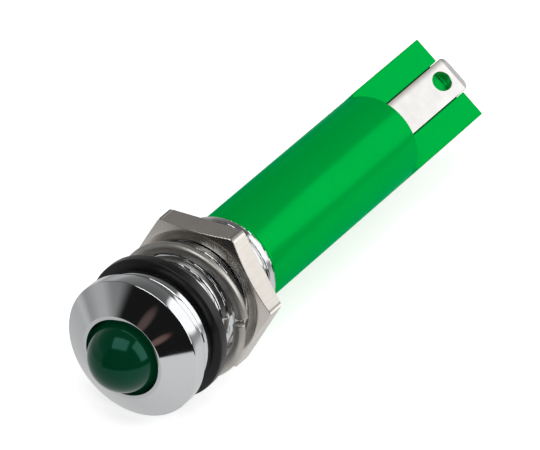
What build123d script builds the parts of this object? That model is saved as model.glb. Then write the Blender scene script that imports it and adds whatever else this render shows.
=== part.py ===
from build123d import *
import math
import os

# Panel mount indicator light for an 8 mm panel hole.
# The axis runs along Y: the lens looks to -Y, the terminals point to +Y.
# The origin lies on the axis at the panel seat, the rear face of the gasket.
# +Z is up as the light lies on a flat of its nut. All sizes are in millimetres.

# Threaded barrel and its bore
thread_diameter = 7.94
barrel_reach = 8.65             # from the panel seat to the rear end of the barrel
barrel_end_diameter = 7.1
barrel_end_taper = 0.65
relief_diameter = 7.1
relief_width = 0.6
lens_bore_diameter = 5.6
housing_bore_diameter = 6.2
led_shoulder_station = 0.5      # step between the two bores, where the lamp's flange stops

# Bezel in front of the gasket
land_diameter = 9.3
land_length = 1.65
land_round = 0.5
land_round_depth = 0.3
groove_width = 0.12
groove_depth = 0.25
rim_diameter = 10.06
rim_length = 1.03
rim_round = 0.08
cone_height = 1.3
lip_width = 0.22                # ring between the cone and the bore
lip_round = 0.04

# Gasket, lock washer and nut
gasket_diameter = 10.7
gasket_thickness = 0.8
gasket_clearance = 0.04
gasket_round = 0.1
washer_diameter = 10.16
washer_bore = 8.58
washer_thickness = 0.7
washer_lead = 0.5               # how far the split coil climbs in one turn
washer_gap_angle = 5.0
washer_station = 2.5            # middle of the coil
washer_split_angle = 82.0       # about the axis, from straight up towards +X
washer_edge_round = 0.25
nut_across_flats = 10.0
nut_thickness = 1.8
nut_station = 4.15              # front face of the nut
nut_clearance = 0.03
nut_face_diameter = 9.8         # turned front face, inside the chamfer
nut_chamfer_angle = 22.0
nut_bore_chamfer = 0.25
contact_gap = 0.01

# Moulded housing with its flat tail
tail_turn = 41.0                # the flat of the tail, turned about the axis from level
housing_diameter = 7.0
housing_length = 19.1           # round part behind the barrel
spigot_length = 6.15
spigot_clearance = 0.04
cavity_diameter = 5.2
end_wall = 2.0
tail_length = 9.05
tail_thickness = 2.6
web_thickness = 1.0
terminal_clearance = 0.05

# Flat terminals
terminal_width = 2.8
terminal_thickness = 0.5
terminal_overhang = 1.0         # past the end of the tail
terminal_corner = 0.5
terminal_hole_diameter = 1.6
terminal_hole_setback = 1.65    # from the end of the terminal to the hole's centre
terminal_bevel_length = 0.55
terminal_bevel_depth = 0.16
tongue_width = 1.8
tongue_length = 3.0             # inside the cavity

# Lamp: a 5 mm light emitting diode
lamp_diameter = 4.9
lamp_dome_station = -4.65       # centre of the dome
lamp_flange_diameter = 5.8
lamp_flange_thickness = 1.0
lamp_flange_flat = 2.55         # from the axis to the flat on the flange
lead_pitch = 2.54
lead_size = 0.5
lead_end_station = 6.5
frame_station = -3.6            # top of the lead frame that carries the chip
frame_gap = 0.2                 # between the anvil and the post
anvil_reach = 0.42              # past the axis
anvil_depth = 0.6
anvil_shoulder = 2.2            # from the top to where the lead is square wire
post_setback = 0.2
post_depth = 0.5
post_shoulder = 1.5
chip_size = 0.2
chip_height = 0.12
cup_diameter = 0.42
cup_floor_diameter = 0.32
cup_depth = 0.2
spacer_thickness = 1.0
spacer_clearance = 0.1
spacer_hole_diameter = 0.8

# Series resistor, link wire and joints
wire_diameter = 0.5
resistor_length = 6.2
resistor_wall_gap = 0.08        # between its caps and the wall of the cavity
resistor_cap_step = 0.15
resistor_cap_length = 1.3
resistor_cap_round = 0.12
resistor_station = 13.5         # middle of its body
wire_lap = 1.5                  # how far a wire lies beside a lead
tongue_lap = 2.2                # how far a wire lies on a terminal's tongue
sleeve_diameter = 1.1
sleeve_wall_gap = 0.05
sleeve_end_gap = 1.2
solder_thickness = 0.16
solder_film = 0.05              # between a wire and what it is soldered to
solder_length = 1.1
solder_round = 0.12

# Worked out from the sizes above
seat_station = -gasket_thickness
groove_station = seat_station - land_length
rim_station = groove_station - groove_width
rim_front_station = rim_station - rim_length
lip_station = rim_front_station - cone_height
tail_station = barrel_reach + housing_length
tail_end_station = tail_station + tail_length
cavity_end_station = tail_station - end_wall
terminal_end_station = tail_end_station + terminal_overhang
terminal_start_station = cavity_end_station - tongue_length
lamp_rear_station = led_shoulder_station + lamp_flange_thickness
spigot_station = barrel_reach - spigot_length
wire_side = lead_size / 2 + solder_film + wire_diameter / 2
wire_height = web_thickness / 2 + terminal_thickness + solder_film + wire_diameter / 2
resistor_offset = math.hypot(wire_side, wire_height)
resistor_cap_diameter = cavity_diameter - 2 * (resistor_offset + resistor_wall_gap)
resistor_diameter = resistor_cap_diameter - 2 * resistor_cap_step
wire_start_station = lead_end_station - wire_lap
wire_end_station = terminal_start_station + tongue_lap

turn = math.radians(tail_turn)
tail_normal = (math.sin(turn), 0, math.cos(turn))
tail_across = (-math.cos(turn), 0, math.sin(turn))
tail_side = (math.cos(turn), 0, -math.sin(turn))


def level_plane(station):
    return Plane(origin=(0, station, 0), x_dir=(-1, 0, 0), z_dir=(0, 1, 0))


def tail_plane(station):
    return Plane(origin=(0, station, 0), x_dir=tail_across, z_dir=(0, 1, 0))


# Plane through the axis, square to the flat of the tail: x is height, y is station
upright_plane = Plane(origin=(0, 0, 0), x_dir=tail_normal, z_dir=tail_across)


os.makedirs("parts", exist_ok=True)


# Bezel and threaded barrel, turned from one bar
with BuildPart() as bezel_barrel:
    with BuildSketch(Plane.XY):
        with BuildLine():
            bore = lens_bore_diameter / 2
            rear_bore = housing_bore_diameter / 2
            thread = thread_diameter / 2
            relief = relief_diameter / 2
            land = land_diameter / 2
            rim = rim_diameter / 2
            lip = bore + lip_width
            Polyline(
                (bore, lip_station + lip_round),
                (bore, led_shoulder_station),
                (rear_bore, led_shoulder_station),
                (rear_bore, barrel_reach),
                (barrel_end_diameter / 2, barrel_reach),
                (thread, barrel_reach - barrel_end_taper),
                (thread, seat_station + relief_width),
                (relief, seat_station + relief_width),
                (relief, seat_station),
                (land - land_round_depth, seat_station),
            )
            land_start = (land, seat_station - land_round)
            TangentArc(land_start, (land - land_round_depth, seat_station), tangent=(0, 1))
            Polyline(
                land_start,
                (land, groove_station),
                (land - groove_depth, groove_station),
                (land - groove_depth, rim_station),
                (rim, rim_station),
                (rim, rim_front_station),
                (lip, lip_station),
                (bore + lip_round, lip_station),
            )
            RadiusArc((bore + lip_round, lip_station), (bore, lip_station + lip_round), lip_round)
        make_face()
    revolve(axis=Axis.Y)
    rim_edges = bezel_barrel.edges().filter_by(GeomType.CIRCLE).filter_by(
        lambda edge: abs(edge.radius - rim) < 1e-6
    )
    fillet(rim_edges, rim_round)
bezel_barrel.part.label = "bezel_barrel"
export_step(bezel_barrel.part, "parts/bezel_barrel.step")


# Flat rubber ring between the bezel and the panel
with BuildPart() as gasket:
    with BuildSketch(level_plane(seat_station)):
        Circle(gasket_diameter / 2)
        Circle(thread_diameter / 2 + gasket_clearance, mode=Mode.SUBTRACT)
    extrude(amount=gasket_thickness)
    gasket_rims = gasket.edges().filter_by(GeomType.CIRCLE).sort_by(SortBy.RADIUS)[-2:]
    fillet(gasket_rims, gasket_round)
gasket.part.label = "gasket"
export_step(gasket.part, "parts/gasket.step")


# Split spring washer, one turn of rounded square wire, that hangs on the thread.
# A helix is placed as an object here, since a workplane doesn't turn its axis.
washer_sag = (washer_bore - thread_diameter) / 2 - contact_gap
washer_middle = (washer_bore + washer_diameter) / 4
washer_width = (washer_diameter - washer_bore) / 2
washer_turns = 1 - washer_gap_angle / 360
washer_height = washer_lead * washer_turns
coil_start_angle = math.radians(washer_split_angle + washer_gap_angle / 2)
coil_plane = Plane(
    origin=(0, washer_station - washer_height / 2, -washer_sag),
    x_dir=(math.sin(coil_start_angle), 0, math.cos(coil_start_angle)),
    z_dir=(0, 1, 0),
)
coil = coil_plane * Helix(pitch=washer_lead, height=washer_height, radius=washer_middle)
with BuildPart() as lock_washer:
    with BuildSketch(Plane(origin=coil @ 0, x_dir=coil_plane.x_dir, z_dir=coil % 0)):
        RectangleRounded(washer_width, washer_thickness, washer_edge_round)
    sweep(path=coil, is_frenet=True)
lock_washer.part.label = "lock_washer"
export_step(lock_washer.part, "parts/lock_washer.step")


# Hexagonal nut with a turned and chamfered front face, one flat up
with BuildPart() as hex_nut:
    with BuildSketch(level_plane(nut_station)):
        RegularPolygon(nut_across_flats / 2, side_count=6, major_radius=False)
    extrude(amount=nut_thickness)
    with BuildSketch(Plane.XY):
        nut_face = nut_face_diameter / 2
        corner_reach = nut_across_flats / math.sqrt(3) + contact_gap
        chamfer_slope = math.tan(math.radians(nut_chamfer_angle))
        chamfer_depth = (corner_reach - nut_face) * chamfer_slope
        nut_end = nut_station + nut_thickness
        Polygon(
            (0, nut_station),
            (nut_face, nut_station),
            (corner_reach, nut_station + chamfer_depth),
            (corner_reach, nut_end),
            (0, nut_end),
            align=None,
        )
    revolve(axis=Axis.Y, mode=Mode.INTERSECT)
    with BuildSketch(level_plane(nut_station)):
        Circle(thread_diameter / 2 + nut_clearance)
    extrude(amount=nut_thickness, mode=Mode.SUBTRACT)
    bore_edges = hex_nut.edges().filter_by(GeomType.CIRCLE).group_by(SortBy.RADIUS)[0]
    chamfer(bore_edges, nut_bore_chamfer)
hex_nut.part.label = "hex_nut"
export_step(hex_nut.part, "parts/hex_nut.step")


# Moulded housing: a hollow round body with a flat tail that carries the terminals
with BuildPart() as housing:
    with BuildSketch(level_plane(spigot_station)):
        Circle(housing_bore_diameter / 2 - spigot_clearance)
    extrude(amount=spigot_length)
    with BuildSketch(level_plane(barrel_reach)):
        Circle(housing_diameter / 2)
    extrude(amount=housing_length)
    with BuildSketch(tail_plane(tail_station)):
        Rectangle(housing_diameter, tail_thickness)
    extrude(amount=tail_length)
    with BuildSketch(level_plane(spigot_station)):
        Circle(cavity_diameter / 2)
    extrude(amount=cavity_end_station - spigot_station, mode=Mode.SUBTRACT)
    slot_width = terminal_width + 2 * terminal_clearance
    recess_height = (tail_thickness - web_thickness) / 2
    recess_middle = (tail_thickness + web_thickness) / 4
    with BuildSketch(tail_plane(tail_station)):
        with Locations((0, recess_middle), (0, -recess_middle)):
            Rectangle(slot_width, recess_height)
    extrude(amount=tail_length, mode=Mode.SUBTRACT)
    terminal_middle = (web_thickness + terminal_thickness) / 2
    with BuildSketch(tail_plane(cavity_end_station)):
        with Locations((0, terminal_middle), (0, -terminal_middle)):
            Rectangle(slot_width, terminal_thickness)
    extrude(amount=end_wall, mode=Mode.SUBTRACT)
housing.part.label = "housing"
export_step(housing.part, "parts/housing.step")


def make_terminal(side):
    """Flat terminal that lies on the web; side is 1 on the upper face and -1 below."""
    face = side * web_thickness / 2
    blade_plane = Plane(origin=(0, 0, 0), x_dir=tail_side, z_dir=tail_normal).offset(face)
    with BuildPart() as terminal:
        with BuildSketch(blade_plane):
            blade_length = terminal_end_station - cavity_end_station
            with Locations((0, terminal_end_station - blade_length / 2)):
                RectangleRounded(terminal_width, blade_length, terminal_corner)
            with Locations((0, cavity_end_station + end_wall / 2)):
                Rectangle(terminal_width, end_wall)
            with Locations((0, terminal_start_station + tongue_length / 2)):
                Rectangle(tongue_width, tongue_length)
            with Locations((0, terminal_end_station - terminal_hole_setback)):
                Circle(terminal_hole_diameter / 2, mode=Mode.SUBTRACT)
        extrude(amount=side * terminal_thickness)
        with BuildSketch(upright_plane):
            outer = face + side * terminal_thickness
            Polygon(
                (outer, terminal_end_station - terminal_bevel_length),
                (outer - side * terminal_bevel_depth, terminal_end_station),
                (outer + side * terminal_thickness, terminal_end_station),
                align=None,
            )
        extrude(amount=terminal_width, both=True, mode=Mode.SUBTRACT)
    return terminal.part


for name, side in (("terminal_upper", 1), ("terminal_lower", -1)):
    terminal = make_terminal(side)
    terminal.label = name
    export_step(terminal, f"parts/{name}.step")


# Lead frame of the lamp: an anvil that carries the chip, and a post beside it
lead_outer = lead_pitch / 2 + lead_size / 2
lead_inner = lead_pitch / 2 - lead_size / 2
post_station = frame_station + post_setback

with BuildPart() as lamp_cathode:
    with BuildSketch(upright_plane):
        Polygon(
            (-lead_outer, frame_station),
            (anvil_reach, frame_station),
            (anvil_reach, frame_station + anvil_depth),
            (-lead_inner, frame_station + anvil_shoulder),
            (-lead_inner, lead_end_station),
            (-lead_outer, lead_end_station),
            align=None,
        )
    extrude(amount=lead_size / 2, both=True)
    with BuildSketch(upright_plane):
        Polygon(
            (0, frame_station),
            (cup_diameter / 2, frame_station),
            (cup_floor_diameter / 2, frame_station + cup_depth),
            (0, frame_station + cup_depth),
            align=None,
        )
    revolve(axis=Axis.Y, mode=Mode.SUBTRACT)
lamp_cathode.part.label = "lamp_cathode"
export_step(lamp_cathode.part, "parts/lamp_cathode.step")

with BuildPart() as lamp_anode:
    with BuildSketch(upright_plane):
        Polygon(
            (lead_outer, post_station),
            (anvil_reach + frame_gap, post_station),
            (anvil_reach + frame_gap, post_station + post_depth),
            (lead_inner, post_station + post_shoulder),
            (lead_inner, lead_end_station),
            (lead_outer, lead_end_station),
            align=None,
        )
    extrude(amount=lead_size / 2, both=True)
lamp_anode.part.label = "lamp_anode"
export_step(lamp_anode.part, "parts/lamp_anode.step")

with BuildPart() as lamp_chip:
    with BuildSketch(tail_plane(frame_station + cup_depth)):
        Rectangle(chip_size, chip_size)
    extrude(amount=-chip_height)
lamp_chip.part.label = "lamp_chip"
export_step(lamp_chip.part, "parts/lamp_chip.step")


# Domed lens of the lamp, cast round the lead frame
with BuildPart() as lamp_lens:
    with BuildSketch(Plane.XY):
        dome = lamp_diameter / 2
        flange = lamp_flange_diameter / 2
        dome_side = dome * math.sqrt(0.5)
        with BuildLine():
            Line((0, lamp_rear_station), (0, lamp_dome_station - dome))
            ThreePointArc(
                (0, lamp_dome_station - dome),
                (dome_side, lamp_dome_station - dome_side),
                (dome, lamp_dome_station),
            )
            Polyline(
                (dome, lamp_dome_station),
                (dome, led_shoulder_station),
                (flange, led_shoulder_station),
                (flange, lamp_rear_station),
                (0, lamp_rear_station),
            )
        make_face()
    revolve(axis=Axis.Y)
    flat_height = flange - lamp_flange_flat
    with BuildSketch(tail_plane(led_shoulder_station)):
        with Locations((0, -lamp_flange_flat - flat_height / 2)):
            Rectangle(lamp_flange_diameter, flat_height)
    extrude(amount=lamp_flange_thickness, mode=Mode.SUBTRACT)
    add(lamp_cathode.part, mode=Mode.SUBTRACT)
    add(lamp_anode.part, mode=Mode.SUBTRACT)
    add(lamp_chip.part, mode=Mode.SUBTRACT)
lamp_lens.part.label = "lamp_lens"
export_step(lamp_lens.part, "parts/lamp_lens.step")


# Insulating spacer that holds the lamp's flange against the step in the bore
with BuildPart() as lamp_spacer:
    with BuildSketch(tail_plane(lamp_rear_station)):
        Circle(housing_bore_diameter / 2 - spacer_clearance)
        with Locations((0, lead_pitch / 2), (0, -lead_pitch / 2)):
            Circle(spacer_hole_diameter / 2, mode=Mode.SUBTRACT)
    extrude(amount=spacer_thickness)
lamp_spacer.part.label = "lamp_spacer"
export_step(lamp_spacer.part, "parts/lamp_spacer.step")


def make_wire(side, start_station, end_station):
    """Round wire beside a lead of the lamp; side is 1 above the axis and -1 below."""
    with BuildPart() as wire:
        with BuildSketch(tail_plane(start_station)):
            with Locations((wire_side, side * wire_height)):
                Circle(wire_diameter / 2)
        extrude(amount=end_station - start_station)
    return wire.part


# Series resistor with its two leads, from the lamp's anode to the upper terminal
resistor_front = resistor_station - resistor_length / 2
resistor_rear = resistor_station + resistor_length / 2
with BuildPart() as resistor:
    with BuildSketch(tail_plane(resistor_front)):
        with Locations((wire_side, wire_height)):
            Circle(resistor_diameter / 2)
    extrude(amount=resistor_length)
    for station in (resistor_front, resistor_rear - resistor_cap_length):
        with BuildSketch(tail_plane(station)):
            with Locations((wire_side, wire_height)):
                Circle(resistor_cap_diameter / 2)
        extrude(amount=resistor_cap_length)
    cap_edges = resistor.edges().filter_by(GeomType.CIRCLE).filter_by(
        lambda edge: abs(edge.radius - resistor_cap_diameter / 2) < 1e-6
    )
    fillet(cap_edges, resistor_cap_round)
resistor.part.label = "resistor"
export_step(resistor.part, "parts/resistor.step")

wire_runs = (
    ("resistor_lead_front", 1, wire_start_station, resistor_front),
    ("resistor_lead_rear", 1, resistor_rear, wire_end_station),
    ("link_wire", -1, wire_start_station, wire_end_station),
)
for name, side, start_station, end_station in wire_runs:
    wire = make_wire(side, start_station, end_station)
    wire.label = name
    export_step(wire, f"parts/{name}.step")


# Insulating sleeve on the link wire
with BuildPart() as link_sleeve:
    sleeve_start = lead_end_station + sleeve_end_gap
    sleeve_end = terminal_start_station - sleeve_end_gap
    with BuildSketch(tail_plane(sleeve_start)):
        with Locations((wire_side, -wire_height)):
            Circle(sleeve_diameter / 2)
            Circle(wire_diameter / 2 + sleeve_wall_gap, mode=Mode.SUBTRACT)
    extrude(amount=sleeve_end - sleeve_start)
link_sleeve.part.label = "link_sleeve"
export_step(link_sleeve.part, "parts/link_sleeve.step")


def make_lead_joint(side, lead):
    """Solder round a lamp lead and the wire that lies beside it."""
    joint_station = lead_end_station - (wire_lap + solder_length) / 2
    wrapped_width = lead_size + solder_film + wire_diameter + 2 * solder_thickness
    wrapped_height = lead_size + 2 * solder_thickness
    with BuildPart() as joint:
        with BuildSketch(tail_plane(joint_station)):
            with Locations(((solder_film + wire_diameter) / 2, side * lead_pitch / 2)):
                RectangleRounded(wrapped_width, wrapped_height, 2 * solder_round)
        extrude(amount=solder_length)
        end_faces = joint.faces().filter_by(Axis.Y)
        fillet(end_faces.edges(), solder_round)
        add(lead, mode=Mode.SUBTRACT)
        add(make_wire(side, wire_start_station, resistor_front), mode=Mode.SUBTRACT)
    return joint.part


def make_tongue_joint(side):
    """Solder between a wire and the tongue of the terminal that it lies on."""
    joint_station = wire_end_station - (tongue_lap + solder_length) / 2
    tongue_face = web_thickness / 2 + terminal_thickness
    foot = wire_diameter / 2 + solder_thickness
    crown = wire_diameter / 2
    joint_height = solder_film + wire_diameter + solder_thickness
    with BuildPart() as joint:
        with BuildSketch(tail_plane(joint_station)):
            Polygon(
                (wire_side - foot, side * tongue_face),
                (wire_side + foot, side * tongue_face),
                (wire_side + crown, side * (tongue_face + joint_height)),
                (wire_side - crown, side * (tongue_face + joint_height)),
                align=None,
            )
        extrude(amount=solder_length)
        top_face = joint.faces().sort_by(Axis(origin=(0, 0, 0), direction=tail_normal))
        fillet((top_face[-1] if side > 0 else top_face[0]).edges(), solder_round)
        add(make_wire(side, terminal_start_station, wire_end_station), mode=Mode.SUBTRACT)
    return joint.part


solder_joints = (
    ("solder_anode", make_lead_joint(1, lamp_anode.part)),
    ("solder_cathode", make_lead_joint(-1, lamp_cathode.part)),
    ("solder_terminal_upper", make_tongue_joint(1)),
    ("solder_terminal_lower", make_tongue_joint(-1)),
)
for name, joint in solder_joints:
    joint.label = name
    export_step(joint, f"parts/{name}.step")
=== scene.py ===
import math

import bmesh
import bpy
from mathutils import Matrix, Vector


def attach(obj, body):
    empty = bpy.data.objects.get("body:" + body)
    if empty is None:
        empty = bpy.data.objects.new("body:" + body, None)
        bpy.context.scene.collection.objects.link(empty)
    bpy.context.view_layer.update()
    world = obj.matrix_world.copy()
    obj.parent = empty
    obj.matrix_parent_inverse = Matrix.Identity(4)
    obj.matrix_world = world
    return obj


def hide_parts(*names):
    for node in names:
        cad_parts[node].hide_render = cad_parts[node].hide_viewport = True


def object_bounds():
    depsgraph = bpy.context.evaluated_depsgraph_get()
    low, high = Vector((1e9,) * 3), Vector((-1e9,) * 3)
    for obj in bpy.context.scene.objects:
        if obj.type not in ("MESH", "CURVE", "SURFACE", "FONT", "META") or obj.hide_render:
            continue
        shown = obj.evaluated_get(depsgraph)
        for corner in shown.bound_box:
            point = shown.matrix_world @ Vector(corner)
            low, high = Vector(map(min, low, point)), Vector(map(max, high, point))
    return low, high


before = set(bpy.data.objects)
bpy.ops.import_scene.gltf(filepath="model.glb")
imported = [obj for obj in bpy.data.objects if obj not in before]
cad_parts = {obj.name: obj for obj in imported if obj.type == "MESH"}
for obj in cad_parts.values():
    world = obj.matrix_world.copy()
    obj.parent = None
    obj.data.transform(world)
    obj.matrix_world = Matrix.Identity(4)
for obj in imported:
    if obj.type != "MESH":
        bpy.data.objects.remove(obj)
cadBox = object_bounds()
mm = 0.001
body = "root"


# mesh helpers

def makeObject(name, mesh, sharpDegrees=32):
    for face in mesh.polygons:
        face.use_smooth = True
    mesh.set_sharp_from_angle(angle=math.radians(sharpDegrees))
    piece = bpy.data.objects.new(name, mesh)
    bpy.context.collection.objects.link(piece)
    return piece


def finishPiece(piece, material, slotName, *nodes):
    piece.data.materials.clear()
    piece.data.materials.append(material)
    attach(piece, body)
    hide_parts(*nodes)


def easedProfile(points, steps=5):
    # each point is (radius, station, rounding); corners with a rounding become arcs
    count = len(points)
    result = []
    for i, (radius, station, rounding) in enumerate(points):
        corner = Vector((radius, station))
        if rounding <= 0:
            result.append(corner)
            continue
        before = Vector(points[i - 1][:2]) - corner
        after = Vector(points[(i + 1) % count][:2]) - corner
        half = before.angle(after) / 2
        reach = min(rounding / math.tan(half), 0.8 * before.length, 0.8 * after.length)
        tightness = reach * math.tan(half)
        start = corner + before.normalized() * reach
        centre = corner + (before.normalized() + after.normalized()).normalized() * tightness / math.sin(half)
        first = start - centre
        end = corner + after.normalized() * reach - centre
        turn = first.angle_signed(end)
        for k in range(steps + 1):
            angle = -turn * k / steps
            spun = Vector((
                first.x * math.cos(angle) - first.y * math.sin(angle),
                first.x * math.sin(angle) + first.y * math.cos(angle),
            ))
            result.append(centre + spun)
    return result


def joinRings(shape, rings):
    for near, far in zip(rings, rings[1:]):
        for j in range(len(near)):
            k = (j + 1) % len(near)
            shape.faces.new((near[j], near[k], far[k], far[j]))


def closeMesh(name, shape):
    bmesh.ops.recalc_face_normals(shape, faces=shape.faces)
    mesh = bpy.data.meshes.new(name)
    shape.to_mesh(mesh)
    shape.free()
    return mesh


def turnedMesh(name, rows, segments):
    # rows run round the section: (radius, station) or a function of the angle that gives both
    shape = bmesh.new()
    rings = []
    for row in rows:
        ring = []
        for j in range(segments):
            angle = 2 * math.pi * j / segments
            radius, station = row(angle) if callable(row) else row
            ring.append(shape.verts.new((
                radius * mm * math.sin(angle), station * mm, radius * mm * math.cos(angle),
            )))
        rings.append(ring)
    joinRings(shape, rings + rings[:1])
    bmesh.ops.remove_doubles(shape, verts=shape.verts, dist=1e-8)
    return closeMesh(name, shape)


def bevelEdges(piece, width, segments=3, degrees=30):
    bevel = piece.modifiers.new("edge rounding", "BEVEL")
    bevel.width = width * mm
    bevel.segments = segments
    bevel.limit_method = "ANGLE"
    bevel.angle_limit = math.radians(degrees)
    bevel.harden_normals = True


# shader groups

def newGroup(name, inputs, outputs):
    group = bpy.data.node_groups.new(name, "ShaderNodeTree")
    for label, kind, value in inputs:
        socket = group.interface.new_socket(name=label, in_out="INPUT", socket_type=kind)
        socket.default_value = value
    for label, kind in outputs:
        group.interface.new_socket(name=label, in_out="OUTPUT", socket_type=kind)
    return group, group.nodes.new("NodeGroupInput"), group.nodes.new("NodeGroupOutput")


def addMath(tree, operation, *sources):
    # each source is a socket or a plain number
    node = tree.nodes.new("ShaderNodeMath")
    node.operation = operation
    for socket, source in zip(node.inputs, sources):
        if isinstance(source, (int, float)):
            socket.default_value = source
        else:
            tree.links.new(source, socket)
    return node.outputs[0]


def addRange(tree, source, low, high, kind="LINEAR"):
    # 0 at low and 1 at high
    node = tree.nodes.new("ShaderNodeMapRange")
    node.interpolation_type = kind
    node.inputs["From Min"].default_value = low
    node.inputs["From Max"].default_value = high
    tree.links.new(source, node.inputs["Value"])
    return node.outputs["Result"]


def addSpread(tree, mask, low, high):
    # low where the mask is 0 and high where it is 1
    node = tree.nodes.new("ShaderNodeMapRange")
    node.inputs["To Min"].default_value = low
    node.inputs["To Max"].default_value = high
    tree.links.new(mask, node.inputs["Value"])
    return node.outputs["Result"]


def addMix(tree, factor, low, high):
    # low and high are colour sockets or plain colours
    node = tree.nodes.new("ShaderNodeMix")
    node.data_type = "RGBA"
    for socket, source in (("Factor", factor), ("A", low), ("B", high)):
        if isinstance(source, tuple):
            node.inputs[socket].default_value = (*source, 1)
        else:
            tree.links.new(source, node.inputs[socket])
    return node.outputs["Result"]


def addRelief(tree, height, depth):
    node = tree.nodes.new("ShaderNodeBump")
    node.inputs["Distance"].default_value = depth * mm
    node.inputs["Strength"].default_value = 1.0
    tree.links.new(height, node.inputs["Height"])
    return node.outputs["Normal"]


def makeMottle():
    # slow patches and fine specks, as one colour and one mask
    group, source, sink = newGroup(
        "mottle",
        [("Base", "NodeSocketColor", (0.5, 0.5, 0.5, 1)), ("Patch", "NodeSocketColor", (0.4, 0.4, 0.4, 1)),
         ("Patch Size", "NodeSocketFloat", 300.0), ("Speck Size", "NodeSocketFloat", 2500.0),
         ("Amount", "NodeSocketFloat", 0.5)],
        [("Color", "NodeSocketColor"), ("Mask", "NodeSocketFloat"), ("Fine", "NodeSocketFloat")],
    )
    nodes, links = group.nodes, group.links
    place = nodes.new("ShaderNodeTexCoord")
    patches = nodes.new("ShaderNodeTexNoise")
    patches.inputs["Detail"].default_value = 3
    specks = nodes.new("ShaderNodeTexNoise")
    specks.inputs["Detail"].default_value = 2
    links.new(place.outputs["Object"], patches.inputs["Vector"])
    links.new(place.outputs["Object"], specks.inputs["Vector"])
    links.new(source.outputs["Patch Size"], patches.inputs["Scale"])
    links.new(source.outputs["Speck Size"], specks.inputs["Scale"])
    mask = addRange(group, patches.outputs["Fac"], 0.35, 0.65)
    factor = addMath(group, "MULTIPLY", mask, source.outputs["Amount"])
    links.new(addMix(group, factor, source.outputs["Base"], source.outputs["Patch"]), sink.inputs["Color"])
    links.new(mask, sink.inputs["Mask"])
    links.new(specks.outputs["Fac"], sink.inputs["Fine"])
    return group


def makeTurning():
    # fine rings round the long axis, as left by a lathe tool
    group, source, sink = newGroup(
        "turning",
        [("Ring Pitch", "NodeSocketFloat", 0.05), ("Wander", "NodeSocketFloat", 0.3)],
        [("Rings", "NodeSocketFloat"), ("Mask", "NodeSocketFloat")],
    )
    nodes, links = group.nodes, group.links
    place = nodes.new("ShaderNodeTexCoord")
    split = nodes.new("ShaderNodeSeparateXYZ")
    links.new(place.outputs["Object"], split.inputs[0])
    squares = [addMath(group, "MULTIPLY", split.outputs[axis], split.outputs[axis]) for axis in ("X", "Z")]
    radius = addMath(group, "SQRT", addMath(group, "ADD", *squares))
    pitch = addMath(group, "MULTIPLY", source.outputs["Ring Pitch"], mm)
    rings = nodes.new("ShaderNodeTexNoise")
    rings.noise_dimensions = "1D"
    rings.inputs["Scale"].default_value = 1.0
    rings.inputs["Detail"].default_value = 4
    rings.inputs["Roughness"].default_value = 0.7
    links.new(addMath(group, "DIVIDE", radius, pitch), rings.inputs["W"])
    blotch = nodes.new("ShaderNodeTexNoise")
    blotch.inputs["Scale"].default_value = 500
    links.new(place.outputs["Object"], blotch.inputs["Vector"])
    wander = addMath(group, "MULTIPLY", blotch.outputs["Fac"], source.outputs["Wander"])
    links.new(addMath(group, "ADD", rings.outputs["Fac"], wander), sink.inputs["Rings"])
    links.new(rings.outputs["Fac"], sink.inputs["Mask"])
    return group


def makeEdgeFade():
    # rises from none to full towards one side, measured along a direction from the origin
    group, source, sink = newGroup(
        "edge fade",
        [("Direction", "NodeSocketVector", (1, 0, 0)), ("Start", "NodeSocketFloat", 1.0),
         ("End", "NodeSocketFloat", 2.0)],
        [("Mask", "NodeSocketFloat")],
    )
    nodes, links = group.nodes, group.links
    place = nodes.new("ShaderNodeTexCoord")
    along = nodes.new("ShaderNodeVectorMath")
    along.operation = "DOT_PRODUCT"
    links.new(place.outputs["Object"], along.inputs[0])
    links.new(source.outputs["Direction"], along.inputs[1])
    fade = nodes.new("ShaderNodeMapRange")
    fade.interpolation_type = "SMOOTHSTEP"
    links.new(addMath(group, "MULTIPLY", along.outputs["Value"], 1 / mm), fade.inputs["Value"])
    links.new(source.outputs["Start"], fade.inputs["From Min"])
    links.new(source.outputs["End"], fade.inputs["From Max"])
    links.new(fade.outputs["Result"], sink.inputs["Mask"])
    return group


mottleGroup = makeMottle()
edgeFadeGroup = makeEdgeFade()
turningGroup = makeTurning()


# materials

def startMaterial(name, values):
    material = bpy.data.materials.new(name)
    material.use_nodes = True
    shader = material.node_tree.nodes["Principled BSDF"]
    for socket, value in values.items():
        shader.inputs[socket].default_value = value
    return material, shader


def addMottle(
    material, shader, base, patch, patchSize=300, speckSize=2500, amount=0.5, roughness=None, bump=0.0,
):
    # sizes are noise scales per metre and the bump is in millimetres
    tree = material.node_tree
    links = tree.links
    mottle = tree.nodes.new("ShaderNodeGroup")
    mottle.node_tree = mottleGroup
    mottle.inputs["Base"].default_value = (*base, 1)
    mottle.inputs["Patch"].default_value = (*patch, 1)
    mottle.inputs["Patch Size"].default_value = patchSize
    mottle.inputs["Speck Size"].default_value = speckSize
    mottle.inputs["Amount"].default_value = amount
    links.new(mottle.outputs["Color"], shader.inputs["Base Color"])
    if roughness:
        links.new(addSpread(tree, mottle.outputs["Mask"], *roughness), shader.inputs["Roughness"])
    if bump:
        links.new(addRelief(tree, mottle.outputs["Fine"], bump), shader.inputs["Normal"])
    return mottle


def makeFinish(name, base, patch, values, **mottleValues):
    material, shader = startMaterial(name, values)
    addMottle(material, shader, base, patch, **mottleValues)
    return material


metal = {"Metallic": 1.0}

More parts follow.
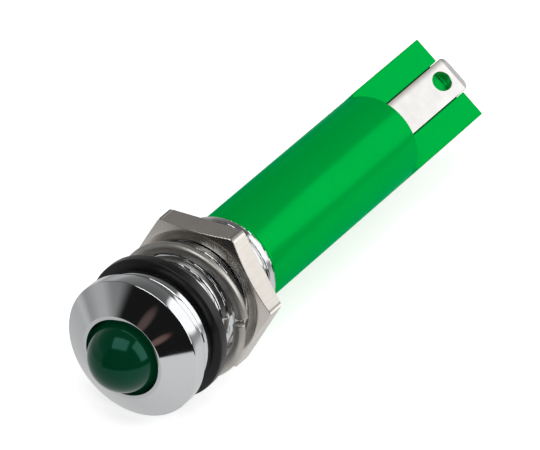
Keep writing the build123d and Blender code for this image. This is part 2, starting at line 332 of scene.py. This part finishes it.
chrome = makeFinish(
    "bezelChrome", (0.63, 0.64, 0.65), (0.595, 0.6, 0.61), metal,
    patchSize=350, roughness=(0.04, 0.075), bump=0.00012,
)
rubber = makeFinish(
    "gasketRubber", (0.006, 0.006, 0.006), (0.011, 0.0105, 0.01), {"Specular IOR Level": 0.34},
    patchSize=900, amount=0.7, roughness=(0.3, 0.4), bump=0.002,
)
springSteel = makeFinish(
    "washerSteel", (0.50, 0.485, 0.455), (0.36, 0.345, 0.315), metal,
    patchSize=700, amount=0.6, roughness=(0.4, 0.5), bump=0.0004,
)
# the little metal with a green tint keeps red out of the plastic's shine
greenPlastic = makeFinish(
    "housingGreen", (0.0, 0.38, 0.05), (0.0, 0.365, 0.044),
    {"IOR": 1.46, "Specular IOR Level": 0.0, "Specular Tint": (0.0, 1.0, 0.85, 1), "Metallic": 0.26},
    patchSize=240, roughness=(0.15, 0.2), bump=0.0006,
)
# the faint glow stands for light that spreads inside the tinted lens
lensEpoxy = makeFinish(
    "lensGreen", (0.0006, 0.018, 0.0075), (0.0006, 0.02, 0.0085),
    {
        "IOR": 1.5, "Specular IOR Level": 0.33, "Specular Tint": (0.3, 1.0, 0.8, 1),
        "Emission Color": (0.001, 1.0, 0.4, 1), "Emission Strength": 0.014,
    },
    patchSize=400, roughness=(0.11, 0.14), bump=0.0002,
)
leadTin = makeFinish("leadTin", (0.62, 0.61, 0.59), (0.5, 0.49, 0.47), metal, roughness=(0.3, 0.45))
wireTin = makeFinish("wireTin", (0.66, 0.64, 0.61), (0.55, 0.53, 0.5), metal, roughness=(0.25, 0.4))
solderTin = makeFinish(
    "solder", (0.55, 0.55, 0.57), (0.42, 0.42, 0.44), metal, roughness=(0.2, 0.45), bump=0.01,
)
chipCrystal = makeFinish("chip", (0.3, 0.28, 0.12), (0.2, 0.2, 0.1), {}, roughness=(0.1, 0.2))
spacerNylon = makeFinish(
    "spacerWhite", (0.72, 0.71, 0.66), (0.66, 0.64, 0.58), {}, roughness=(0.45, 0.55), bump=0.002,
)
resistorLacquer = makeFinish(
    "resistorLacquer", (0.55, 0.42, 0.26), (0.5, 0.37, 0.22), {}, roughness=(0.3, 0.4), bump=0.004,
)
sleeveBlack = makeFinish(
    "sleeveBlack", (0.02, 0.02, 0.02), (0.035, 0.035, 0.035), {}, roughness=(0.5, 0.6), bump=0.002,
)


def makeNickel():
    material, shader = startMaterial("nutNickel", metal)
    addMottle(
        material, shader, (0.66, 0.625, 0.58), (0.57, 0.53, 0.49), patchSize=420, speckSize=2600, amount=0.6,
    )
    tree = material.node_tree
    turning = tree.nodes.new("ShaderNodeGroup")
    turning.node_tree = turningGroup
    turning.inputs["Ring Pitch"].default_value = 0.06
    turning.inputs["Wander"].default_value = 0.25
    tree.links.new(addRelief(tree, turning.outputs["Rings"], 0.002), shader.inputs["Normal"])
    tree.links.new(addSpread(tree, turning.outputs["Mask"], 0.2, 0.34), shader.inputs["Roughness"])
    return material


def makeTin(turnDegrees):
    # bright tin, with painted shade along the edge that lies in the corner of its channel, where the rail
    # wall shades it
    material, shader = startMaterial("terminalTin", metal)
    mottle = addMottle(
        material, shader, (0.66, 0.65, 0.635), (0.6, 0.59, 0.575),
        patchSize=500, amount=0.6, roughness=(0.2, 0.3), bump=0.0005,
    )
    tree = material.node_tree
    fade = tree.nodes.new("ShaderNodeGroup")
    fade.node_tree = edgeFadeGroup
    turn = math.radians(turnDegrees)
    fade.inputs["Direction"].default_value = (-math.cos(turn), 0, math.sin(turn))
    fade.inputs["Start"].default_value = 0.85
    fade.inputs["End"].default_value = 1.45
    # painted shade: the colour the tin fades to towards the rail wall
    paintedRailShade = (0.24, 0.21, 0.185)
    colour = addMix(tree, fade.outputs["Mask"], mottle.outputs["Color"], paintedRailShade)
    tree.links.new(colour, shader.inputs["Base Color"])
    return material


nickel = makeNickel()
print("materials made")


# bezel and threaded barrel

bezel = {
    "lipStation": -4.9, "lipRadius": 3.08, "lipInnerRounding": 0.04, "lipOuterRounding": 0.05,
    "bore": 2.8, "rearBore": 3.1, "boreStep": 0.5,
    "rimRadius": 5.03, "rimFront": -3.6, "rimRear": -2.57, "rimFrontRounding": 0.09, "rimRearRounding": 0.1,
    "grooveRadius": 4.4, "landRadius": 4.65, "landFront": -2.41, "landRounding": 0.12,
    # thin turned mark round the land, and the eased fall behind it
    "mark": -1.85, "markDepth": 0.06, "markWidth": 0.04, "markRounding": 0.06,
    "fallStart": 0.05, "fallStartDepth": 0.02, "fallRounding": 0.05,
    "landRear": -1.12, "landRearDepth": 0.04, "landRearRounding": 0.6,
    "seat": -0.8, "seatDepth": 0.34, "seatRounding": 0.05, "relief": 3.55,
    "threadCrest": 3.97, "threadDepth": 0.27, "threadPitch": 0.75, "threadCrestShare": 0.6,
    "flankDegrees": 30, "flankEase": 0.1, "threadStart": -0.2, "runInSlope": 1.2,
    "barrelEnd": 8.65, "endRadius": 3.55, "endTaper": 0.65, "endEdgeLength": 0.03, "endEdgeDepth": 0.04,
    "segments": 180, "rowsPerPitch": 20, "sharpDegrees": 40,
}


def threadRadius(angle, station):
    b = bezel
    pitch, depth = b["threadPitch"], b["threadDepth"]
    along = (station / pitch + angle / (2 * math.pi)) % 1.0
    offset = abs(along - 0.5) * pitch          # 0 at the middle of a crest
    flank = depth * math.tan(math.radians(b["flankDegrees"]))
    crest = pitch * b["threadCrestShare"] / 2
    cut = min(max((offset - crest) / flank, 0.0), 1.0)
    cut = cut - b["flankEase"] * math.sin(2 * math.pi * cut)
    runIn = b["relief"] + (station - b["threadStart"]) * b["runInSlope"]
    taper = (b["threadCrest"] - b["endRadius"]) / b["endTaper"]
    runOut = b["endRadius"] + (b["barrelEnd"] - station) * taper
    return min(b["threadCrest"] - depth * cut, max(runIn, b["relief"]), runOut)


def makeBezel():
    b = bezel
    lip, rim, land, mark = b["lipStation"], b["rimFront"], b["landFront"], b["mark"]
    radius = b["landRadius"]
    front = [
        (b["bore"], b["boreStep"], 0), (b["bore"], lip, b["lipInnerRounding"]),
        (b["lipRadius"], lip, b["lipOuterRounding"]),
        (b["rimRadius"], rim, b["rimFrontRounding"]), (b["rimRadius"], b["rimRear"], b["rimRearRounding"]),
        (b["grooveRadius"], b["rimRear"], 0), (b["grooveRadius"], land, 0),
        (radius, land, b["landRounding"]), (radius, mark - 2 * b["markWidth"], b["markRounding"]),
        (radius - b["markDepth"], mark - b["markWidth"], 0), (radius - b["markDepth"], mark, 0),
        (radius - b["fallStartDepth"], mark + b["fallStart"], b["fallRounding"]),
        (radius - b["landRearDepth"], b["landRear"], b["landRearRounding"]),
        (radius - b["seatDepth"], b["seat"], b["seatRounding"]), (b["relief"], b["seat"], 0),
    ]
    rows = [tuple(p) for p in easedProfile(front)]
    rows.append((b["relief"], b["threadStart"]))
    length = b["barrelEnd"] - b["threadStart"]
    count = int(length / b["threadPitch"] * b["rowsPerPitch"])
    for i in range(1, count):
        station = b["threadStart"] + length * i / count
        rows.append(lambda angle, s=station: (threadRadius(angle, s), s))
    rows += [
        (b["endRadius"], b["barrelEnd"] - b["endEdgeLength"]),
        (b["endRadius"] - b["endEdgeDepth"], b["barrelEnd"]),
        (b["rearBore"], b["barrelEnd"]), (b["rearBore"], b["boreStep"]),
    ]
    return makeObject("bezelBarrel", turnedMesh("bezelBarrel", rows, b["segments"]), b["sharpDegrees"])


bezelBarrel = makeBezel()
finishPiece(bezelBarrel, chrome, "bezel_chrome", "bezel_barrel")
print("bezel made")


# gasket

gasket = {
    "outer": 5.18, "inner": 4.01, "front": bezel["seat"], "rear": 0.0, "outerRounding": 0.12,
    "innerRounding": 0.03, "segments": 160,
}


def makeGasket():
    g = gasket
    ring = [
        (g["inner"], g["front"], g["innerRounding"]), (g["outer"], g["front"], g["outerRounding"]),
        (g["outer"], g["rear"], g["outerRounding"]), (g["inner"], g["rear"], g["innerRounding"]),
    ]
    rows = [tuple(p) for p in easedProfile(ring)]
    return makeObject("gasketRing", turnedMesh("gasketRing", rows, g["segments"]))


gasketRing = makeGasket()
finishPiece(gasketRing, rubber, "gasket_rubber", "gasket")
print("gasket made")


# lock washer

washer = {
    "outer": 5.08, "inner": 4.29, "thickness": 0.7, "lead": 0.5, "middle": 2.5, "sag": 0.31,
    "gapDegrees": 2.6, "splitDegrees": 83.0, "outerEdge": 0.32, "innerEdge": 0.192, "crown": 0.94,
    "endEase": 0.008, "endShare": 0.9, "steps": 200, "sharpDegrees": 50,
}


def makeWasher():
    w = washer
    half = w["thickness"] / 2
    reach = (w["outer"] - w["inner"]) / 2
    section = easedProfile([
        (-reach, -half, w["innerEdge"]), (reach, -half * w["crown"], w["outerEdge"]),
        (reach, half * w["crown"], w["outerEdge"]), (-reach, half, w["innerEdge"]),
    ], steps=4)
    turns = 1 - w["gapDegrees"] / 360
    middle = (w["outer"] + w["inner"]) / 2
    start = math.radians(w["splitDegrees"] + w["gapDegrees"] / 2)
    # share of the way round, turn past it in radians and size of the section
    places = [(0.0, -w["endEase"], w["endShare"])]
    places += [(k / w["steps"], 0.0, 1.0) for k in range(w["steps"] + 1)]
    places.append((1.0, w["endEase"], w["endShare"]))
    shape = bmesh.new()
    rings = []
    for share, past, size in places:
        angle = start + 2 * math.pi * turns * share + past
        station = w["middle"] + w["lead"] * turns * (share - 0.5)
        ring = []
        for across, along in section:
            radius = middle + across * size
            ring.append(shape.verts.new((
                radius * math.sin(angle) * mm, (station + along * size) * mm,
                (radius * math.cos(angle) - w["sag"]) * mm,
            )))
        rings.append(ring)
    joinRings(shape, rings)
    shape.faces.new(rings[0])
    shape.faces.new(rings[-1])
    return makeObject("lockWasher", closeMesh("lockWasher", shape), w["sharpDegrees"])


lockWasher = makeWasher()
finishPiece(lockWasher, springSteel, "washer_steel", "lock_washer")
print("washer made")


# nut

nut = {
    "halfFlats": 5.0, "front": 4.15, "thickness": 1.8, "bore": 4.0, "boreBevel": 0.25,
    "faceRadius": 4.9, "faceEase": 0.1, "chamferDegrees": 22, "chamferSteps": (0.08, 0.2, 0.4, 0.6, 0.8, 1.0),
    "cornerRounding": 0.1, "edge": 0.05, "edgeInset": 0.03, "edgeDrop": 0.035, "flatStart": 0.2,
    "segments": 360, "sharpDegrees": 24,
}


def hexReach(angle):
    # distance from the axis to a hexagon with rounded corners and a flat straight up
    step = math.radians(60)
    local = (angle + step / 2) % step - step / 2
    rounding, flat = nut["cornerRounding"], nut["halfFlats"]
    cornerDistance = (flat - rounding) / math.cos(step / 2)
    away = step / 2 - abs(local)
    aside = cornerDistance * math.sin(away)
    if aside > rounding:
        return flat / math.cos(local)
    rounded = cornerDistance * math.cos(away) + math.sqrt(rounding ** 2 - aside ** 2)
    return min(flat / math.cos(local), rounded)


def makeNut():
    n = nut
    slope = math.tan(math.radians(n["chamferDegrees"]))
    front, rear, edge, face = n["front"], n["front"] + n["thickness"], n["edge"], n["faceRadius"]

    def chamferRow(share):
        def row(angle):
            radius = face + share * (hexReach(angle) - n["edgeInset"] - face)
            return radius, front + (radius - face) * slope
        return row

    def frontRow(drop):
        def row(angle):
            reach = hexReach(angle)
            return reach, front + (reach - face) * slope + drop
        return row

    def rearRow(inset, rise):
        return lambda angle: (hexReach(angle) - inset, rear - rise)

    rows = [(n["bore"], front + n["boreBevel"]), (n["bore"] + n["boreBevel"], front)]
    rows += [(face - n["faceEase"], front), (face - 0.3 * n["faceEase"], front + 0.02 * n["faceEase"])]
    rows += [chamferRow(share) for share in n["chamferSteps"]]
    rows += [frontRow(n["edgeDrop"]), frontRow(n["flatStart"])]
    rows += [rearRow(0, n["flatStart"]), rearRow(0, edge), rearRow(edge, 0)]
    rows += [(n["bore"] + n["boreBevel"], rear), (n["bore"], rear - n["boreBevel"])]
    return makeObject("hexNut", turnedMesh("hexNut", rows, n["segments"]), n["sharpDegrees"])


hexNut = makeNut()
finishPiece(hexNut, nickel, "nut_nickel", "hex_nut")
print("nut made")


# housing and tail

housing = {
    "spigot": 3.06, "spigotStart": 2.5, "step": bezel["barrelEnd"], "radius": 3.5, "rear": 27.75,
    "cavity": 2.6, "cavityEnd": 25.75, "mouthRounding": 0.05, "frontRounding": 0.24, "rearRounding": 0.08,
    "segments": 160,
    # the flat tail with a channel on each face, and the tongue between the terminals
    "tailEnd": 36.8, "tailHalf": 1.3, "recessHalf": 1.45, "webHalf": 0.5, "turnDegrees": 41.0, "edge": 0.07,
    "rootDepth": 0.6, "rootShare": 0.9, "rootRun": 0.25,
    "tongueEnd": 37.2, "tongueRoot": 0.3, "tongueShare": 0.93,
}
turn = math.radians(housing["turnDegrees"])
tailNormal = Vector((math.sin(turn), 0, math.cos(turn)))
tailAcross = Vector((-math.cos(turn), 0, math.sin(turn)))


def tailPoint(across, height, station):
    return (tailAcross * across + tailNormal * height + Vector((0, station, 0))) * mm


def makeHousingBody():
    h = housing
    profile = [
        (h["cavity"], h["spigotStart"], h["mouthRounding"]),
        (h["spigot"], h["spigotStart"], h["mouthRounding"]),
        (h["spigot"], h["step"], 0), (h["radius"], h["step"], h["frontRounding"]),
        (h["radius"], h["rear"], h["rearRounding"]), (0.0, h["rear"], 0), (0.0, h["cavityEnd"], 0),
        (h["cavity"], h["cavityEnd"], 0),
    ]
    rows = [tuple(p) for p in easedProfile(profile)]
    return makeObject("housingBody", turnedMesh("housingBody", rows, h["segments"]))


def makeTail():
    h = housing
    wide, high, rail, web = h["radius"], h["tailHalf"], h["recessHalf"], h["webHalf"]
    outline = [
        (-wide, -high), (-rail, -high), (-rail, -web), (rail, -web), (rail, -high), (wide, -high),
        (wide, high), (rail, high), (rail, web), (-rail, web), (-rail, high), (-wide, high),
    ]
    outlinePlaces = (
        (h["rear"] - h["rootDepth"], h["rootShare"]), (h["rear"] + h["rootRun"], 1.0), (h["tailEnd"], 1.0),
    )
    tongue = [(-rail, -web), (rail, -web), (rail, web), (-rail, web)]
    tonguePlaces = (
        (h["tailEnd"] - h["tongueRoot"], h["tongueShare"]), (h["tongueEnd"], h["tongueShare"]),
    )
    shape = bmesh.new()
    for points, places in ((outline, outlinePlaces), (tongue, tonguePlaces)):
        rings = [[shape.verts.new(tailPoint(a * share, b, y)) for a, b in points] for y, share in places]
        shape.faces.new(rings[0])
        shape.faces.new(list(reversed(rings[-1])))
        for near, far in zip(rings, rings[1:]):
            for i in range(len(points)):
                k = (i + 1) % len(points)
                shape.faces.new((near[i], far[i], far[k], near[k]))
    piece = makeObject("housingTail", closeMesh("housingTail", shape))
    bevelEdges(piece, h["edge"])
    return piece


housingBody = makeHousingBody()
finishPiece(housingBody, greenPlastic, "housing_green", "housing")
housingTail = makeTail()
finishPiece(housingTail, greenPlastic, "housing_green", "housing")
print("housing made")


# terminals

terminal = {
    "halfWidth": 1.4, "thickness": 0.5, "start": housing["cavityEnd"] + 0.05, "end": 38.15, "corner": 0.62,
    "cornerSteps": 9, "holeAcross": 0.73, "holeAlong": 0.93, "holeCentre": (0.1, 36.15), "holeSegments": 48,
    "bevelLength": 0.62, "bevelDepth": 0.14, "edge": 0.045, "sharpDegrees": 12,
}


def makeTerminal(name, side):
    t = terminal
    wide, corner, bevelStart = t["halfWidth"], t["corner"], t["end"] - t["bevelLength"]
    tip = [(wide, bevelStart)]
    for sideways, firstDegrees in ((1, 0), (-1, 90)):
        for k in range(t["cornerSteps"] + 1):
            angle = math.radians(firstDegrees + 90 / t["cornerSteps"] * k)
            point = (
                sideways * (wide - corner) + corner * math.cos(angle),
                t["end"] - corner + corner * math.sin(angle),
            )
            if point[1] > bevelStart + 0.01:
                tip.append(point)
    tip.append((-wide, bevelStart))
    plate = [(-wide, bevelStart), (-wide, t["start"]), (wide, t["start"]), (wide, bevelStart)]
    holeX, holeY = t["holeCentre"]
    hole = []
    for k in range(t["holeSegments"]):
        angle = 2 * math.pi * k / t["holeSegments"]
        hole.append((holeX + t["holeAcross"] * math.cos(angle), holeY + t["holeAlong"] * math.sin(angle)))
    web = housing["webHalf"]
    seam = {(wide, bevelStart), (-wide, bevelStart)}

    def outerHeight(station):
        return t["thickness"] - t["bevelDepth"] * max(0.0, station - bevelStart) / t["bevelLength"]

    # the plate with its hole, then the bevelled tip that shares the seam with it
    shape = bmesh.new()
    for outlines in ((plate, hole), (tip,)):
        loops = []
        for points in outlines:
            low = [shape.verts.new(tailPoint(a, side * web, y)) for a, y in points]
            high = [shape.verts.new(tailPoint(a, side * (web + outerHeight(y)), y)) for a, y in points]
            loops.append((low, high))
        for level in (0, 1):
            if len(loops) == 1:
                shape.faces.new(loops[0][level])
                continue
            edges = []
            for loop in loops:
                ring = loop[level]
                edges += [shape.edges.new((vert, ring[(i + 1) % len(ring)])) for i, vert in enumerate(ring)]
            bmesh.ops.triangle_fill(shape, use_beauty=True, use_dissolve=False, edges=edges)
        for (low, high), points in zip(loops, outlines):
            for i in range(len(low)):
                k = (i + 1) % len(low)
                if {points[i], points[k]} != seam:
                    shape.faces.new((low[i], low[k], high[k], high[i]))
    bmesh.ops.remove_doubles(shape, verts=shape.verts, dist=1e-7)
    piece = makeObject(name, closeMesh(name, shape), t["sharpDegrees"])
    bevelEdges(piece, t["edge"], segments=2, degrees=40)
    return piece


tinPlate = makeTin(housing["turnDegrees"])
terminalUpper = makeTerminal("terminalUpper", 1)
finishPiece(terminalUpper, tinPlate, "terminal_tin", "terminal_upper")
terminalLower = makeTerminal("terminalLower", -1)
finishPiece(terminalLower, tinPlate, "terminal_tin", "terminal_lower")
print("terminals made")


# lamp

lamp = {
    "radius": 2.45, "domeCentre": -4.65, "sideStart": 1.2, "shoulder": bezel["boreStep"],
    "flange": 2.9, "flangeRear": 1.5, "domeSteps": 32, "segments": 144,
}


def makeLens():
    p = lamp
    rows = [
        (0.0, p["flangeRear"]), (p["flange"], p["flangeRear"]), (p["flange"], p["shoulder"]),
        (p["radius"], p["shoulder"]), (p["radius"], p["domeCentre"] + p["sideStart"]),
    ]
    for k in range(p["domeSteps"] + 1):
        angle = math.radians(90 * k / p["domeSteps"])
        rows.append((p["radius"] * math.cos(angle), p["domeCentre"] - p["radius"] * math.sin(angle)))
    return makeObject("lampLens", turnedMesh("lampLens", rows, p["segments"]))


lampLens = makeLens()
finishPiece(lampLens, lensEpoxy, "lens_green", "lamp_lens")
print("lamp made")


# inner pieces, kept as they come

innerFinishes = {
    "lamp_cathode": leadTin, "lamp_anode": leadTin, "lamp_chip": chipCrystal, "lamp_spacer": spacerNylon,
    "resistor": resistorLacquer, "resistor_lead_front": wireTin, "resistor_lead_rear": wireTin,
    "link_wire": wireTin, "link_sleeve": sleeveBlack, "solder_anode": solderTin,
    "solder_cathode": solderTin, "solder_terminal_upper": solderTin, "solder_terminal_lower": solderTin,
}
for nodeName, material in innerFinishes.items():
    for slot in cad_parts[nodeName].material_slots:
        slot.material = material
print("inner pieces dressed")


# floor, light and camera

studio = {
    "floorHalf": 0.6, "floorColour": 0.78, "floorLift": 0.6, "skyLevel": 0.33,
    "boxDistance": 0.9,
    "boxes": {
        # azimuth and elevation, width and height in degrees, level
        "overheadBox": (10, 69, 46, 36, 2.3),
        "sideBox": (104, 28, 38, 54, 2.3),
        "rearBox": (145, 22, 24, 30, 1.35),
    },
    "plainBoxes": ("rearBox",),     # these light the object but aren't mirrored in it
}


def aimedDirection(azimuth, elevation):
    a, e = math.radians(azimuth), math.radians(elevation)
    return Vector((math.sin(a) * math.cos(e), -math.cos(a) * math.cos(e), math.sin(e)))


def makeSoftBoxes():
    distance = studio["boxDistance"]
    for name, (azimuth, elevation, width, height, level) in studio["boxes"].items():
        data = bpy.data.lights.new(name, "AREA")
        data.shape = "RECTANGLE"
        data.size = 2 * distance * math.tan(math.radians(width / 2))
        data.size_y = 2 * distance * math.tan(math.radians(height / 2))
        data.energy = level * math.pi * data.size * data.size_y
        lightObject = bpy.data.objects.new(name, data)
        direction = aimedDirection(azimuth, elevation)
        lightObject.location = direction * distance
        lightObject.rotation_euler = direction.to_track_quat("Z", "Y").to_euler()
        lightObject.visible_camera = False
        lightObject.visible_glossy = name not in studio["plainBoxes"]
        bpy.context.collection.objects.link(lightObject)


def makeFloor():
    shape = bmesh.new()
    bmesh.ops.create_grid(shape, x_segments=8, y_segments=8, size=studio["floorHalf"])
    mesh = bpy.data.meshes.new("floor")
    shape.to_mesh(mesh)
    shape.free()
    floor = bpy.data.objects.new("floor", mesh)
    floor.location = (0, 0, cadBox[0][2])
    bpy.context.collection.objects.link(floor)
    material = bpy.data.materials.new("floorWhite")
    material.use_nodes = True
    tree = material.node_tree
    nodes, links = tree.nodes, tree.links
    nodes.remove(nodes["Principled BSDF"])
    diffuse = nodes.new("ShaderNodeBsdfDiffuse")
    shade = studio["floorColour"]
    diffuse.inputs["Color"].default_value = (shade, shade, shade, 1)
    # the lift brings the lit floor up to white for the camera alone, and the shadow stays
    lift = nodes.new("ShaderNodeEmission")
    path = nodes.new("ShaderNodeLightPath")
    strength = addMath(tree, "MULTIPLY", path.outputs["Is Camera Ray"], studio["floorLift"])
    both = nodes.new("ShaderNodeAddShader")
    links.new(strength, lift.inputs["Strength"])
    links.new(diffuse.outputs[0], both.inputs[0])
    links.new(lift.outputs[0], both.inputs[1])
    links.new(both.outputs[0], nodes["Material Output"].inputs["Surface"])
    mesh.materials.append(material)
    floor.visible_glossy = False


def makeWorld():
    # white behind the object, and a plain level of light from all round
    world = bpy.data.worlds.new("studio")
    bpy.context.scene.world = world
    world.use_nodes = True
    tree = world.node_tree
    background = tree.nodes["Background"]
    path = tree.nodes.new("ShaderNodeLightPath")
    sharp = addMath(tree, "MAXIMUM", path.outputs["Is Glossy Ray"], path.outputs["Is Transmission Ray"])
    seen = addMath(tree, "MAXIMUM", path.outputs["Is Camera Ray"], sharp)
    background.inputs["Color"].default_value = (1, 1, 1, 1)
    tree.links.new(addSpread(tree, seen, studio["skyLevel"], 1.0), background.inputs["Strength"])


tent = {
    "radius": 1.5,
    # height of the direction, from -1 below to 1 above, and how light the cloth is there
    "levels": (
        (-0.2, 0.76), (-0.07, 0.4), (0.0, 0.42), (0.14, 0.54), (0.25, 0.54), (0.36, 0.32), (0.55, 0.22),
        (0.7, 0.15), (0.87, 0.1),
    ),
    "floorSlant": 0.18, "floorSlantRange": (0.1, 0.3),
    # the open side faces this way, and the dark room shows through it above the floor
    "openTowards": (0.72, -0.69), "openRange": (0.0, 0.24), "openFloor": (-0.27, -0.23),
    "room": (0.012, 0.012, 0.012),
    "patches": (
        # azimuth and elevation, inner and outer reach in degrees, colour
        (2, 23, 1.0, 7.0, (0.12, 0.085, 0.08)), (22, 5, 0.5, 5.0, (0.2, 0.125, 0.11)),
        (147, 22, 17, 24, (1.55, 1.55, 1.55)),
    ),
}


def makeTentCloth():
    t = tent
    material = bpy.data.materials.new("tentCloth")
    material.use_nodes = True
    tree = material.node_tree
    nodes, links = tree.nodes, tree.links
    nodes.remove(nodes["Principled BSDF"])
    place = nodes.new("ShaderNodeTexCoord")
    direction = nodes.new("ShaderNodeVectorMath")
    direction.operation = "NORMALIZE"
    links.new(place.outputs["Object"], direction.inputs[0])
    split = nodes.new("ShaderNodeSeparateXYZ")
    links.new(direction.outputs[0], split.inputs[0])
    x, y, z = split.outputs

    def lean(towardsX, towardsY, towardsZ):
        # how far the direction leans towards the given one
        rise = addMath(tree, "MULTIPLY", z, towardsZ)
        return addMath(tree, "MULTIPLY_ADD", x, towardsX, addMath(tree, "MULTIPLY_ADD", y, towardsY, rise))

    ramp = nodes.new("ShaderNodeValToRGB")
    ramp.color_ramp.elements.remove(ramp.color_ramp.elements[1])
    for i, (height, level) in enumerate(t["levels"]):
        where = (height + 1) / 2
        element = ramp.color_ramp.elements[0] if i == 0 else ramp.color_ramp.elements.new(where)
        element.position = where
        element.color = (level, level, level, 1)
    links.new(addMath(tree, "MULTIPLY_ADD", z, 0.5, 0.5), ramp.inputs["Fac"])
    # the floor is lit from the right
    below = addRange(tree, addMath(tree, "MULTIPLY", z, -1.0), *t["floorSlantRange"], "SMOOTHSTEP")
    slant = addMath(tree, "MULTIPLY", addMath(tree, "MULTIPLY", x, t["floorSlant"]), below)
    cloth = nodes.new("ShaderNodeMix")
    cloth.data_type = "RGBA"
    cloth.blend_type = "ADD"
    cloth.inputs["Factor"].default_value = 1.0
    links.new(ramp.outputs["Color"], cloth.inputs["A"])
    links.new(slant, cloth.inputs["B"])
    # the open side, two dim warm lamps in it and a soft light behind
    side = addRange(tree, lean(*t["openTowards"], 0.0), *t["openRange"], "SMOOTHSTEP")
    opening = addMath(tree, "MULTIPLY", side, addRange(tree, z, *t["openFloor"], "SMOOTHSTEP"))
    seen = addMix(tree, opening, cloth.outputs["Result"], t["room"])
    for azimuth, elevation, inner, outer, colour in t["patches"]:
        reach = [math.cos(math.radians(angle)) for angle in (outer, inner)]
        patch = addRange(tree, lean(*aimedDirection(azimuth, elevation)), *reach, "SMOOTHSTEP")
        seen = addMix(tree, patch, seen, colour)
    glow = nodes.new("ShaderNodeEmission")
    links.new(seen, glow.inputs["Color"])
    links.new(glow.outputs[0], nodes["Material Output"].inputs["Surface"])
    material.cycles.emission_sampling = "NONE"
    return material


def makeTent():
    # grey cloth tent, seen only in reflections, and open to a dark room in front on the right
    shape = bmesh.new()
    bmesh.ops.create_icosphere(shape, subdivisions=4, radius=tent["radius"])
    mesh = bpy.data.meshes.new("tent")
    shape.to_mesh(mesh)
    shape.free()
    mesh.materials.append(makeTentCloth())
    dome = bpy.data.objects.new("tent", mesh)
    bpy.context.collection.objects.link(dome)
    dome.visible_camera = False
    dome.visible_diffuse = False
    dome.visible_transmission = False
    dome.visible_shadow = False


view = {
    "right": (0.85199, 0.52293, -0.02524), "up": (-0.2493, 0.44764, 0.85875),
    "place": (0.187292, -0.281311, 0.208653), "lens": 398.1, "sensorWidth": 36,
}


def makeCamera():
    right, up = Vector(view["right"]), Vector(view["up"])
    data = bpy.data.cameras.new("camera")
    data.sensor_width = view["sensorWidth"]
    data.lens = view["lens"]
    data.clip_start = 0.01
    camera = bpy.data.objects.new("camera", data)
    rotation = Matrix((right, up, right.cross(up))).transposed().to_4x4()
    camera.matrix_world = Matrix.Translation(view["place"]) @ rotation
    bpy.context.collection.objects.link(camera)
    bpy.context.scene.camera = camera


makeFloor()
makeSoftBoxes()
makeWorld()
makeTent()
makeCamera()
bpy.context.scene.view_settings.view_transform = "Standard"
print("studio made")
